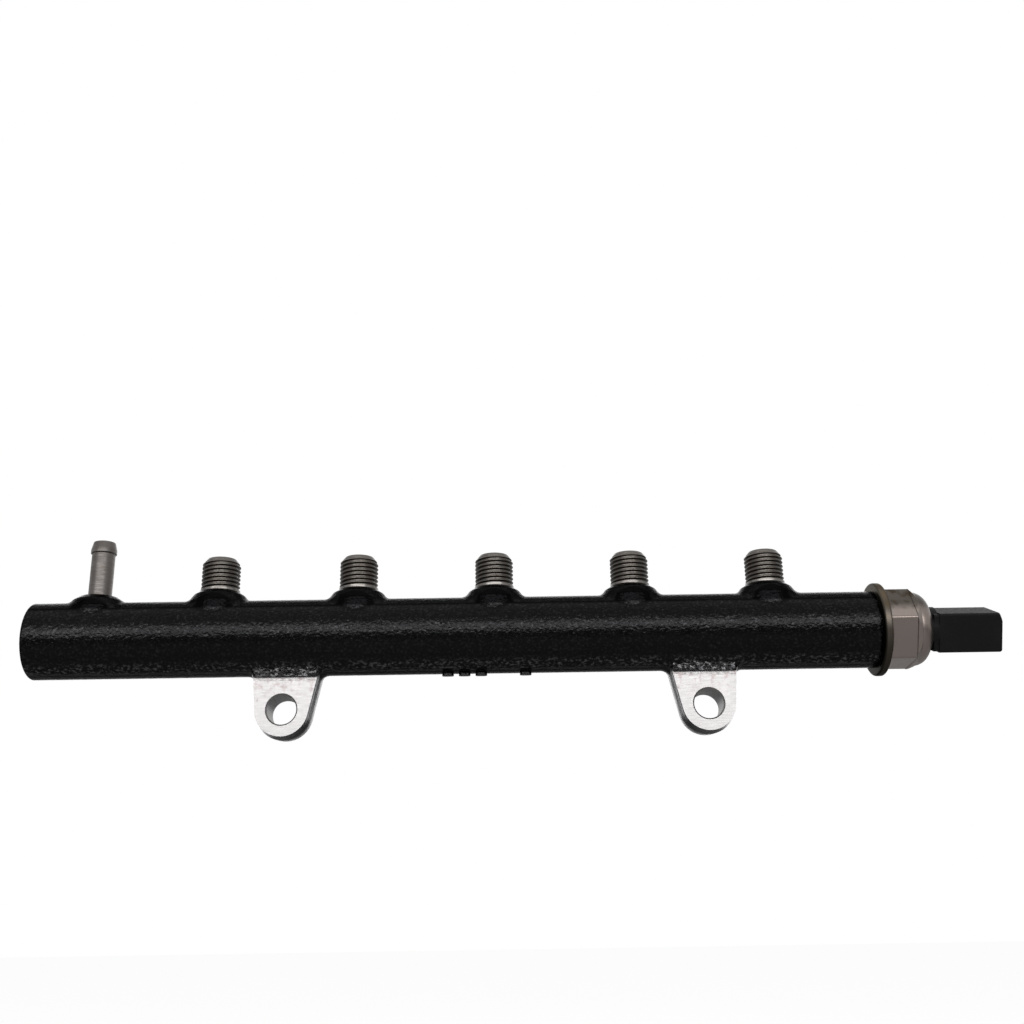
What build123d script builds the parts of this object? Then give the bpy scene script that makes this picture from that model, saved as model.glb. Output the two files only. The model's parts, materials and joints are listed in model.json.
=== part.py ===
"""High-pressure fuel rail of a four-cylinder diesel engine.

X runs along the rail and +Z is the way the outlet stubs point. The origin lies
midway between the two ear bolts, on the milled faces of the ears, so the rail's
own axis runs behind it and above it. All sizes are in millimetres.
"""
import os
from math import atan2, cos, degrees, radians, sin, tan

from build123d import *

os.makedirs("parts", exist_ok=True)

# Forged body: tube
TUBE_D = 27.8
MAIN_BORE_D = 10.0
LEFT_REACH = 168.0       # plug end of the tube, from the middle of the ears
RIGHT_REACH = 137.6      # sensor end of the tube, from the middle of the ears
AXIS_DEPTH = 6.1         # rail axis behind the milled ear faces
AXIS_HEIGHT = 27.05      # rail axis above the ear bolts
END_ROUND = 1.2

# Forged body: bosses and threaded stubs
OUTLET_PITCH = 50.0      # between the four injector outlets
INLET_OFFSET = 51.0      # pump inlet beyond the first injector outlet
RETURN_INSET = 22.7      # return nipple from the plug end of the tube
BOSS_FOOT_D = 24.4       # at the rail axis
BOSS_SHOULDER_D = 23.4
BOSS_TOP_D = 19.2
BOSS_SHOULDER_HEIGHT = 12.6
BOSS_CROWN_HEIGHT = 15.7
BOSS_HEIGHT = 17.3       # stub root above the rail axis
RETURN_BOSS_DROP = 1.5   # the return nipple's boss is this much lower
BOSS_ROUND = 1.6
BOSS_ROOT_ROUND = 3.0
STUB_D = 14.0            # M14 x 1.5, plain at the major diameter
STUB_LENGTH = 12.6
STUB_TIP_D = 10.6
STUB_TIP_CHAMFER = 2.2
STUB_ROOT_D = 14.4       # turned land below the thread
STUB_ROOT_LENGTH = 0.8
LINE_SEAT_D = 9.0        # mouth of the 60 degree seat for the injection line
LINE_SEAT_ANGLE = 60.0
LINE_BORE_D = 3.0

# Forged body: ears
EAR_SPACING = 151.0
EAR_BOLT_D = 10.5        # clearance for M10
EAR_ROUND_D = 20.0       # round end, at the parting plane
EAR_OUTER_REACH = 12.2   # half widths where the ear meets the rail axis
EAR_INNER_REACH = 16.4
EAR_HALF_THICKNESS = 7.6  # as forged, each side of the parting plane
EAR_DRAFT = 5.0
EAR_LEDGE_DROP = 15.45   # top of the milled face below the rail axis
EAR_ROOT_ROUND = 3.0
EAR_RIM_ROUND = 1.0
EAR_MILLING_SPAN = 42.0
SPOT_FACE_D = 18.0
SPOT_FACE_DEPTH = 0.3
HOLE_CHAMFER = 0.5

# Raised forging marks under the tube: plain bars
MARK_XS = (-17.0, -11.0, -5.0, 11.0)
MARK_LENGTH = 4.2
MARK_WIDTH = 2.4
MARK_HEIGHT = 0.9

# Return nipple
NIPPLE_D = 8.4
NIPPLE_BEAD_D = 9.3
NIPPLE_BORE_D = 5.6
NIPPLE_LENGTH = 21.4     # above the boss
NIPPLE_BEAD_DROP = 4.6   # underside of the bead below the tip
NIPPLE_BEAD_RAMP = 0.4
NIPPLE_NOSE_LENGTH = 2.8
NIPPLE_NOSE_D = 7.9
NIPPLE_SHANK_D = 7.5
NIPPLE_SHANK_LENGTH = 6.5
RETURN_DRILL_D = 3.5
PRESS_CLEARANCE = 0.02   # radial, between pressed pieces as drawn

# Plug and pressure-limiting valve in the plug end of the tube
PLUG_THREAD_D = 18.0
PLUG_RECESS = 1.0
PLUG_LENGTH = 10.0
PLUG_SOCKET = 8.0        # across flats
PLUG_SOCKET_DEPTH = 6.0
PLUG_SEAL_THICKNESS = 1.0
PLUG_SEAL_WIDTH = 2.4
THREAD_CLEARANCE = 0.05
PLUG_CHAMFER = 0.8
CHAMBER_D = 12.0
CHAMBER_LENGTH = 28.0
SHIM_D = 10.0
SHIM_THICKNESS = 1.2
SPRING_WIRE_D = 1.4
SPRING_MEAN_D = 7.6
SPRING_COILS = 5.0
PLUNGER_CLEARANCE = 0.05
PLUNGER_HEAD_LENGTH = 7.0
PLUNGER_STEM_D = 4.6
PLUNGER_STEM_LENGTH = 7.0
PLUNGER_FLAT = 5.0       # flats that let fuel past the head, from its axis
BALL_D = 5.0
BALL_POCKET_DEPTH = 1.2
BALL_CLEARANCE = 0.05
VALVE_SEAT_LENGTH = 6.0
VALVE_SEAT_MOUTH_D = 5.2
VALVE_SEAT_ANGLE = 90.0
VALVE_SEAT_BORE_D = 2.0
CONTACT_GAP = 0.01       # between pieces that rest on each other
SAME_SIZE = 0.01         # measures this close are the same

# Rail pressure sensor: pressure port
SENSOR_THREAD_D = 18.0
SENSOR_SHANK_LENGTH = 15.0
SENSOR_GASKET_THICKNESS = 1.0
SENSOR_GASKET_BORE_D = 7.0
SENSOR_BORE_D = 3.0
PORT_SHOULDER_LENGTH = 4.2
PORT_BOSS_D = 11.0
PORT_BOSS_LENGTH = 2.0
CELL_D = 9.0
CELL_LENGTH = 3.0
CELL_RECESS_D = 5.0
CELL_SKIN = 0.5

# Rail pressure sensor: drawn shell
SENSOR_CLOCK = 22.8      # front flat turned down from the ears' front
FLANGE_D = 33.8
FLANGE_THICKNESS = 2.9
FLANGE_ROUND = 0.8
SHELL_HEX = 27.0         # across flats
SHELL_HEX_TURN = 30.0    # turns a flat, not a corner, to the front
SHELL_CORNER_ROUND = 5.0
SHELL_WALL = 1.4
SHELL_FLARE = 1.1        # round from the flange up into the hexagon
SHELL_HEX_LENGTH = 10.7  # where the corners start to fall
SHELL_ENVELOPE_D = 29.6  # round envelope of the corners
SHELL_SHOULDER_LENGTH = 12.8
SHELL_SHOULDER_D = 27.0  # where the dome starts
SHELL_TIP_D = 17.6
SHELL_LENGTH = 20.0
SHELL_MOUTH_D = 16.8

# Rail pressure sensor: electronics
CARRIER_BORE_D = 12.4
CARRIER_LENGTH = 6.4
INNER_CLEARANCE = 0.3
BOARD_D = 20.4
BOARD_CLEARANCE = 0.2
BOARD_THICKNESS = 1.0
BOARD_WINDOW_D = 3.0
BOARD_TO_BASE = 3.0      # underside of the board to the foot of the plug-in socket
SPRING_STRIP = 0.2
SPRING_STRIP_WIDTH = 1.2
SPRING_STRIP_GAP = 0.5   # opening of each C-shaped contact

# Rail pressure sensor: plug-in socket
BASE_D = 21.2
BASE_LENGTH = 3.0
SEAL_SECTION_D = 1.5
SEAL_CLEARANCE = 0.1
NECK_D = 15.8
NECK_LENGTH = 2.2        # outside the shell
COLLAR_GAP = 0.3         # shell to the square collar round the neck
COLLAR_INSET = 0.4
SOCKET_WIDTH = 15.4
SOCKET_HEIGHT = 14.2
SOCKET_DROP = 0.5        # middle of the socket below the pins, to make room for the keys
SOCKET_LENGTH = 22.8
SOCKET_WALL = 1.6
SOCKET_DEPTH = 15.0
SOCKET_EDGE_ROUND = 0.8
SOCKET_END_ROUND = 1.0
MOUTH_CUT = 1.4          # upper lip of the mouth cut back
MOUTH_CUT_HEIGHT = 3.5
KEY_WIDTH = 1.6
KEY_HEIGHT = 1.0
KEY_SPACING = 6.0
NIB_WIDTH = 5.0
NIB_LENGTH = 4.0
NIB_HEIGHT = 1.4
NIB_SETBACK = 4.0
PIN_PITCH = 3.6
PIN_WIDTH = 1.5
PIN_THICKNESS = 0.8
PIN_TIP_CHAMFER = 0.2
PIN_FOOT = 0.8           # pin below the socket's base
PIN_REACH = 9.0          # pin inside the socket

TUBE_LEFT = -LEFT_REACH
TUBE_RIGHT = RIGHT_REACH
TUBE_LENGTH = LEFT_REACH + RIGHT_REACH
INJECTOR_XS = [OUTLET_PITCH * step for step in (-1, 0, 1, 2)]
INLET_X = INJECTOR_XS[0] - INLET_OFFSET
RETURN_X = TUBE_LEFT + RETURN_INSET
RETURN_BOSS_HEIGHT = BOSS_HEIGHT - RETURN_BOSS_DROP
STUB_XS = [INLET_X] + INJECTOR_XS
STUB_TIP_Z = AXIS_HEIGHT + BOSS_HEIGHT + STUB_LENGTH


def across(x, clock=0.0):
    """Plane square to the rail at x, its own x pointing to the front and down by clock degrees."""
    front = (0, -cos(radians(clock)), -sin(radians(clock)))
    return Plane(origin=(x, AXIS_DEPTH, AXIS_HEIGHT), x_dir=front, z_dir=(1, 0, 0))


def lengthwise(x, z=AXIS_HEIGHT):
    """Plane through the rail axis, its x along the rail and its y up, with its origin at x and z."""
    return Plane(origin=(x, AXIS_DEPTH, z), x_dir=(1, 0, 0), z_dir=(0, -1, 0))


def along_row(x):
    """Plane along the rail at x that holds the row of sensor pins, its y pointing to the front."""
    front = across(x, SENSOR_CLOCK).x_dir
    return Plane(origin=(x, AXIS_DEPTH, AXIS_HEIGHT), x_dir=(1, 0, 0), z_dir=Vector(1, 0, 0).cross(front))


def side_on(x):
    """Plane along the rail at x and square to the row of sensor pins, its y pointing up."""
    return Plane(origin=(x, AXIS_DEPTH, AXIS_HEIGHT), x_dir=(1, 0, 0), z_dir=across(x, SENSOR_CLOCK).x_dir)


def rail_axis():
    """The rail's own axis."""
    return Axis((0, AXIS_DEPTH, AXIS_HEIGHT), (1, 0, 0))


def upright(x):
    """Axis of a boss or stub."""
    return Axis((x, AXIS_DEPTH, AXIS_HEIGHT), (0, 0, 1))


def save(piece, name):
    """Label a finished piece and write it as its own STEP file."""
    piece.label = name
    export_step(piece, f"parts/{name}.step")


# ---------------------------------------------------------------- forged body
ear_centres = (-EAR_SPACING / 2, EAR_SPACING / 2)
thread_bore_depth = PLUG_RECESS + PLUG_LENGTH + PLUG_SEAL_THICKNESS
chamber_left = TUBE_LEFT + thread_bore_depth
chamber_right = chamber_left + CHAMBER_LENGTH
sensor_bore_depth = SENSOR_SHANK_LENGTH + SENSOR_GASKET_THICKNESS
tube_underside = AXIS_HEIGHT - TUBE_D / 2
spot_face_y = AXIS_DEPTH + EAR_HALF_THICKNESS - SPOT_FACE_DEPTH

with BuildPart() as rail_body:
    with BuildSketch(across(TUBE_LEFT)):
        Circle(TUBE_D / 2)
    extrude(amount=TUBE_LENGTH)

    # bosses, rounded at the shoulder and crown
    for boss_x in STUB_XS + [RETURN_X]:
        drop = RETURN_BOSS_DROP if boss_x == RETURN_X else 0
        with BuildSketch(lengthwise(boss_x)) as boss_profile:
            with BuildLine():
                Polyline(
                    (0, 0),
                    (BOSS_FOOT_D / 2, 0),
                    (BOSS_SHOULDER_D / 2, BOSS_SHOULDER_HEIGHT - drop),
                    (BOSS_TOP_D / 2, BOSS_CROWN_HEIGHT - drop),
                    (STUB_ROOT_D / 2, BOSS_HEIGHT - drop),
                    (0, BOSS_HEIGHT - drop),
                    close=True,
                )
            make_face()
            fillet(boss_profile.vertices().sort_by(Axis.Y)[2:4], radius=BOSS_ROUND)
        revolve(axis=upright(boss_x))
        boss_root = rail_body.edges(Select.LAST).filter_by(GeomType.BSPLINE)
        fillet(boss_root, radius=BOSS_ROOT_ROUND)

    # ears, drafted both ways from the parting plane and rounded as forged
    for ear_x in ear_centres:
        inward = 1 if ear_x < 0 else -1
        with BuildSketch(lengthwise(ear_x, z=0)):
            Circle(EAR_ROUND_D / 2)
            with BuildLine():
                Line((-inward * EAR_OUTER_REACH, AXIS_HEIGHT), (inward * EAR_INNER_REACH, AXIS_HEIGHT))
            make_hull()
        extrude(amount=EAR_HALF_THICKNESS, both=True, taper=EAR_DRAFT)
        forged = rail_body.edges(Select.LAST).filter_by(
            lambda edge: abs(edge.center().Y - AXIS_DEPTH) > EAR_HALF_THICKNESS - SAME_SIZE
        )
        fillet(forged.filter_by(lambda edge: edge.center().Z < tube_underside), radius=EAR_RIM_ROUND)
        ear_root = rail_body.edges().filter_by(
            lambda edge: tube_underside < edge.center().Z < AXIS_HEIGHT - TUBE_D / 4
        )
        fillet(ear_root.filter_by_position(Axis.X, ear_x - TUBE_D, ear_x + TUBE_D), radius=EAR_ROOT_ROUND)

    # raised forging marks
    for mark_x in MARK_XS:
        with BuildSketch(Plane(origin=(mark_x, AXIS_DEPTH, tube_underside - MARK_HEIGHT))):
            SlotOverall(MARK_LENGTH, MARK_WIDTH)
        extrude(until=Until.NEXT)

    # stubs: turned land, plain major diameter and lead-in chamfer
    for stub_x in STUB_XS:
        with BuildSketch(Plane(origin=(stub_x, AXIS_DEPTH, AXIS_HEIGHT))):
            Circle(STUB_ROOT_D / 2)
        extrude(amount=BOSS_HEIGHT + STUB_ROOT_LENGTH)
        with BuildSketch(Plane(origin=(stub_x, AXIS_DEPTH, AXIS_HEIGHT))):
            Circle(STUB_D / 2)
        extrude(amount=BOSS_HEIGHT + STUB_LENGTH)
    stub_tips = rail_body.edges().group_by(Axis.Z)[-1]
    chamfer(stub_tips, length=STUB_TIP_CHAMFER, length2=(STUB_D - STUB_TIP_D) / 2)

    # milled ear faces under a ledge, bolt holes and spot faces for the bolt heads
    ledge_z = AXIS_HEIGHT - EAR_LEDGE_DROP
    for ear_x in ear_centres:
        with BuildSketch(Plane(origin=(ear_x, 0, ledge_z), x_dir=(1, 0, 0), z_dir=(0, -1, 0))):
            Rectangle(EAR_MILLING_SPAN, EAR_MILLING_SPAN, align=(Align.CENTER, Align.MAX))
        extrude(amount=EAR_HALF_THICKNESS, mode=Mode.SUBTRACT)
        with BuildSketch(Plane(origin=(ear_x, 0, 0), x_dir=(1, 0, 0), z_dir=(0, 1, 0))):
            Circle(EAR_BOLT_D / 2)
        extrude(amount=2 * AXIS_DEPTH + EAR_HALF_THICKNESS, mode=Mode.SUBTRACT)
        with BuildSketch(Plane(origin=(ear_x, spot_face_y, 0), x_dir=(1, 0, 0), z_dir=(0, 1, 0))):
            Circle(SPOT_FACE_D / 2)
        extrude(amount=EAR_HALF_THICKNESS, mode=Mode.SUBTRACT)
    bolt_hole_rims = rail_body.edges().filter_by(GeomType.CIRCLE).filter_by(
        lambda edge: abs(edge.radius - EAR_BOLT_D / 2) < SAME_SIZE and abs(edge.center().Z) < SAME_SIZE
    )
    chamfer(bolt_hole_rims, length=HOLE_CHAMFER)

    # bores from the plug end: thread, valve chamber, main bore; then the sensor thread
    for bore_x, bore_d, bore_length in (
        (TUBE_LEFT, PLUG_THREAD_D, thread_bore_depth),
        (TUBE_LEFT, CHAMBER_D, thread_bore_depth + CHAMBER_LENGTH),
        (TUBE_LEFT, MAIN_BORE_D, TUBE_LENGTH),
        (TUBE_RIGHT - sensor_bore_depth, SENSOR_THREAD_D, sensor_bore_depth),
    ):
        with BuildSketch(across(bore_x)):
            Circle(bore_d / 2)
        extrude(amount=bore_length, mode=Mode.SUBTRACT)

    # drilling and cone seat in each stub
    for stub_x in STUB_XS:
        with Locations(Plane(origin=(stub_x, AXIS_DEPTH, STUB_TIP_Z))):
            CounterSinkHole(
                radius=LINE_BORE_D / 2,
                counter_sink_radius=LINE_SEAT_D / 2,
                depth=BOSS_HEIGHT + STUB_LENGTH,
                counter_sink_angle=LINE_SEAT_ANGLE,
            )

    # seat for the return nipple, drilled through to the valve chamber
    with Locations(Plane(origin=(RETURN_X, AXIS_DEPTH, AXIS_HEIGHT + RETURN_BOSS_HEIGHT))):
        CounterBoreHole(
            radius=RETURN_DRILL_D / 2,
            counter_bore_radius=NIPPLE_SHANK_D / 2 + PRESS_CLEARANCE,
            counter_bore_depth=NIPPLE_SHANK_LENGTH + CONTACT_GAP,
            depth=RETURN_BOSS_HEIGHT,
        )

    # broken outer edges of the tube
    tube_ends = rail_body.edges().filter_by(GeomType.CIRCLE).filter_by(
        lambda edge: abs(edge.radius - TUBE_D / 2) < SAME_SIZE
    )
    fillet(tube_ends.sort_by(Axis.X)[0], radius=END_ROUND)
save(rail_body.part, "rail_body")


# -------------------------------------------------------------- return nipple
nipple_seat_z = AXIS_HEIGHT + RETURN_BOSS_HEIGHT
with BuildPart() as return_nipple:
    with BuildSketch(lengthwise(RETURN_X, z=nipple_seat_z + CONTACT_GAP)):
        with BuildLine():
            Polyline(
                (NIPPLE_BORE_D / 2, -NIPPLE_SHANK_LENGTH),
                (NIPPLE_SHANK_D / 2, -NIPPLE_SHANK_LENGTH),
                (NIPPLE_SHANK_D / 2, 0),
                (NIPPLE_D / 2, 0),
                (NIPPLE_D / 2, NIPPLE_LENGTH - NIPPLE_BEAD_DROP),
                (NIPPLE_BEAD_D / 2, NIPPLE_LENGTH - NIPPLE_BEAD_DROP + NIPPLE_BEAD_RAMP),
                (NIPPLE_BEAD_D / 2, NIPPLE_LENGTH - NIPPLE_NOSE_LENGTH),
                (NIPPLE_NOSE_D / 2, NIPPLE_LENGTH),
                (NIPPLE_BORE_D / 2, NIPPLE_LENGTH),
                close=True,
            )
        make_face()
    revolve(axis=upright(RETURN_X))
save(return_nipple.part, "return_nipple")


# ------------------------------------------------ plug and limiting valve
plug_outer_x = TUBE_LEFT + PLUG_RECESS
plug_inner_x = plug_outer_x + PLUG_LENGTH
with BuildPart() as end_plug:
    with BuildSketch(across(plug_outer_x)):
        Circle(PLUG_THREAD_D / 2 - THREAD_CLEARANCE)
    extrude(amount=PLUG_LENGTH)
    chamfer(end_plug.edges().filter_by(GeomType.CIRCLE), length=PLUG_CHAMFER)
    with BuildSketch(across(plug_outer_x)):
        RegularPolygon(radius=PLUG_SOCKET / 2, side_count=6, major_radius=False)
    extrude(amount=PLUG_SOCKET_DEPTH, mode=Mode.SUBTRACT)
save(end_plug.part, "end_plug")

with BuildPart() as plug_seal:
    with BuildSketch(across(plug_inner_x)):
        Circle(PLUG_THREAD_D / 2 - THREAD_CLEARANCE)
        Circle(PLUG_THREAD_D / 2 - PLUG_SEAL_WIDTH, mode=Mode.SUBTRACT)
    extrude(amount=PLUG_SEAL_THICKNESS)
save(plug_seal.part, "plug_seal")

with BuildPart() as limiter_shim:
    with BuildSketch(across(plug_inner_x)):
        Circle(SHIM_D / 2)
    extrude(amount=SHIM_THICKNESS)
save(limiter_shim.part, "limiter_shim")

valve_seat_x = chamber_right - VALVE_SEAT_LENGTH
with BuildPart() as limiter_seat:
    with BuildSketch(across(valve_seat_x)):
        Circle(CHAMBER_D / 2 - PRESS_CLEARANCE)
    extrude(amount=VALVE_SEAT_LENGTH)
    with Locations(across(valve_seat_x).rotated((0, 180, 0))):
        CounterSinkHole(
            radius=VALVE_SEAT_BORE_D / 2,
            counter_sink_radius=VALVE_SEAT_MOUTH_D / 2,
            depth=VALVE_SEAT_LENGTH,
            counter_sink_angle=VALVE_SEAT_ANGLE,
        )
save(limiter_seat.part, "limiter_seat")

# the ball touches its cone seat on a circle, so its centre follows from the cone
half_seat_angle = radians(VALVE_SEAT_ANGLE / 2)
seat_apex_x = valve_seat_x + VALVE_SEAT_MOUTH_D / 2 / tan(half_seat_angle)
ball_x = seat_apex_x - BALL_D / 2 / sin(half_seat_angle) - CONTACT_GAP
with BuildPart(across(ball_x)) as limiter_ball:
    Sphere(BALL_D / 2)
save(limiter_ball.part, "limiter_ball")

pocket_floor_x = ball_x - BALL_D / 2 - CONTACT_GAP
plunger_right_x = pocket_floor_x + BALL_POCKET_DEPTH
plunger_shoulder_x = plunger_right_x - PLUNGER_HEAD_LENGTH
with BuildPart() as limiter_plunger:
    with BuildSketch(across(plunger_shoulder_x)):
        Circle(CHAMBER_D / 2 - PLUNGER_CLEARANCE)
    extrude(amount=PLUNGER_HEAD_LENGTH)
    with BuildSketch(across(plunger_shoulder_x)) as flats:
        with PolarLocations(PLUNGER_FLAT, 3):
            Rectangle(CHAMBER_D, CHAMBER_D, align=(Align.MIN, Align.CENTER))
    extrude(amount=PLUNGER_HEAD_LENGTH, mode=Mode.SUBTRACT)
    with BuildSketch(across(plunger_shoulder_x)):
        Circle(PLUNGER_STEM_D / 2)
    extrude(amount=-PLUNGER_STEM_LENGTH)
    with BuildSketch(across(plunger_right_x)):
        Circle(BALL_D / 2 + BALL_CLEARANCE)
    extrude(amount=-BALL_POCKET_DEPTH, mode=Mode.SUBTRACT)
save(limiter_plunger.part, "limiter_plunger")

# coils between the shim and the plunger's shoulder, at the fitted length
spring_left_x = plug_inner_x + SHIM_THICKNESS + CONTACT_GAP
spring_length = plunger_shoulder_x - spring_left_x - CONTACT_GAP
coil_rise = spring_length - SPRING_WIRE_D
with BuildPart() as limiter_spring:
    with BuildLine() as coil:
        Helix(
            pitch=coil_rise / SPRING_COILS,
            height=coil_rise,
            radius=SPRING_MEAN_D / 2,
            center=(spring_left_x + SPRING_WIRE_D / 2, AXIS_DEPTH, AXIS_HEIGHT),
            direction=(1, 0, 0),
        )
    with BuildSketch(Plane(origin=coil.line @ 0, z_dir=coil.line % 0)):
        Circle(SPRING_WIRE_D / 2)
    sweep(path=coil.line, is_frenet=True)
save(limiter_spring.part, "limiter_spring")


# ------------------------------------------------------ sensor pressure port
shank_tip_x = TUBE_RIGHT - SENSOR_SHANK_LENGTH
shell_inner_hex = SHELL_HEX - 2 * SHELL_WALL
shoulder_d = shell_inner_hex - 2 * THREAD_CLEARANCE
shoulder_end_x = TUBE_RIGHT + PORT_SHOULDER_LENGTH
cell_x = shoulder_end_x + PORT_BOSS_LENGTH

with BuildPart() as sensor_gasket:
    with BuildSketch(across(TUBE_RIGHT - sensor_bore_depth)):
        Circle(SENSOR_THREAD_D / 2 - THREAD_CLEARANCE)
        Circle(SENSOR_GASKET_BORE_D / 2, mode=Mode.SUBTRACT)
    extrude(amount=SENSOR_GASKET_THICKNESS)
save(sensor_gasket.part, "sensor_gasket")

with BuildPart() as sensor_port:
    with BuildSketch(across(shank_tip_x)):
        Circle(SENSOR_THREAD_D / 2 - THREAD_CLEARANCE)
    extrude(amount=SENSOR_SHANK_LENGTH)
    chamfer(sensor_port.edges().filter_by(GeomType.CIRCLE).sort_by(Axis.X)[0], length=PLUG_CHAMFER)
    with BuildSketch(across(TUBE_RIGHT)):
        Circle(shoulder_d / 2)
    extrude(amount=PORT_SHOULDER_LENGTH)
    with BuildSketch(across(shoulder_end_x)):
        Circle(PORT_BOSS_D / 2)
    extrude(amount=PORT_BOSS_LENGTH)
    with BuildSketch(across(shank_tip_x)):
        Circle(SENSOR_BORE_D / 2)
    extrude(amount=cell_x - shank_tip_x, mode=Mode.SUBTRACT)
save(sensor_port.part, "sensor_port")

with BuildPart() as pressure_cell:
    with BuildSketch(across(cell_x)):
        Circle(CELL_D / 2)
    extrude(amount=CELL_LENGTH)
    with BuildSketch(across(cell_x)):
        Circle(CELL_RECESS_D / 2)
    extrude(amount=CELL_LENGTH - CELL_SKIN, mode=Mode.SUBTRACT)
save(pressure_cell.part, "pressure_cell")


# -------------------------------------------------------------- sensor shell
dome_run = SHELL_LENGTH - SHELL_SHOULDER_LENGTH
dome_drop = (SHELL_SHOULDER_D - SHELL_TIP_D) / 2
dome_radius = (dome_run**2 + dome_drop**2) / (2 * dome_drop)
dome_centre = (SHELL_SHOULDER_LENGTH, SHELL_SHOULDER_D / 2 - dome_radius)
dome_angle = degrees(atan2(dome_run, dome_radius - dome_drop))


def shell_form(inset):
    """Rounded hexagon closed by its dome, moved in from the outside by inset."""
    envelope_radius = SHELL_ENVELOPE_D / 2 - inset
    with BuildPart() as form:
        with BuildSketch(across(TUBE_RIGHT, SENSOR_CLOCK)) as section:
            RegularPolygon(SHELL_HEX / 2 - inset, side_count=6, major_radius=False, rotation=SHELL_HEX_TURN)
            fillet(section.vertices(), radius=SHELL_CORNER_ROUND - inset)
        extrude(amount=SHELL_LENGTH)
        with BuildSketch(lengthwise(TUBE_RIGHT)):
            with BuildLine():
                dome = CenterArc(dome_centre, dome_radius - inset, start_angle=90, arc_size=-dome_angle)
                Polyline(dome @ 1, ((dome @ 1).X, 0), (0, 0), (0, envelope_radius),
                         (SHELL_HEX_LENGTH, envelope_radius), dome @ 0)
            make_face()
        revolve(axis=rail_axis(), mode=Mode.INTERSECT)
    return form.part


shell_outside = shell_form(0)
shell_inside = shell_form(SHELL_WALL)
with BuildPart() as sensor_shell:
    with BuildSketch(across(TUBE_RIGHT)):
        Circle(FLANGE_D / 2)
    extrude(amount=FLANGE_THICKNESS)
    fillet(sensor_shell.edges().filter_by(GeomType.CIRCLE), radius=FLANGE_ROUND)
    add(shell_outside)
    flange_root = sensor_shell.edges().filter_by(
        lambda edge: abs(edge.center().X - TUBE_RIGHT - FLANGE_THICKNESS) < SAME_SIZE
        and abs(edge.center().Y - AXIS_DEPTH) + abs(edge.center().Z - AXIS_HEIGHT) > SAME_SIZE
    )
    fillet(flange_root, radius=SHELL_FLARE)
    add(shell_inside, mode=Mode.SUBTRACT)
    with BuildSketch(across(TUBE_RIGHT)):
        Circle(SHELL_MOUTH_D / 2)
    extrude(amount=SHELL_LENGTH, mode=Mode.SUBTRACT)
save(sensor_shell.part, "sensor_shell")


# --------------------------------------------- electronics and plug-in socket
inner_radius = SHELL_HEX / 2 - SHELL_WALL
carrier_radius = inner_radius - INNER_CLEARANCE
board_x = shoulder_end_x + CARRIER_LENGTH
base_x = board_x + BOARD_TO_BASE
with BuildPart() as board_carrier:
    with BuildSketch(across(shoulder_end_x)):
        Circle(carrier_radius)
        Circle(CARRIER_BORE_D / 2, mode=Mode.SUBTRACT)
    extrude(amount=CARRIER_LENGTH)
    with BuildSketch(across(board_x)):
        Circle(carrier_radius)
        Circle(BOARD_D / 2 + BOARD_CLEARANCE, mode=Mode.SUBTRACT)
    extrude(amount=BOARD_TO_BASE)
save(board_carrier.part, "board_carrier")

with BuildPart() as sensor_board:
    with BuildSketch(across(board_x)):
        Circle(BOARD_D / 2)
        Circle(BOARD_WINDOW_D / 2, mode=Mode.SUBTRACT)
    extrude(amount=BOARD_THICKNESS)
save(sensor_board.part, "sensor_board")

base_end_x = base_x + BASE_LENGTH
collar_x = TUBE_RIGHT + SHELL_LENGTH + COLLAR_GAP
socket_x = TUBE_RIGHT + SHELL_LENGTH + NECK_LENGTH
socket_top = SOCKET_HEIGHT / 2 - SOCKET_DROP
socket_end_x = socket_x + SOCKET_LENGTH
socket_floor_x = socket_end_x - SOCKET_DEPTH
pin_foot_x = base_x - PIN_FOOT
pin_length = socket_floor_x + PIN_REACH - pin_foot_x
pin_row = [PIN_PITCH * step for step in (-1, 0, 1)]

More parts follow.
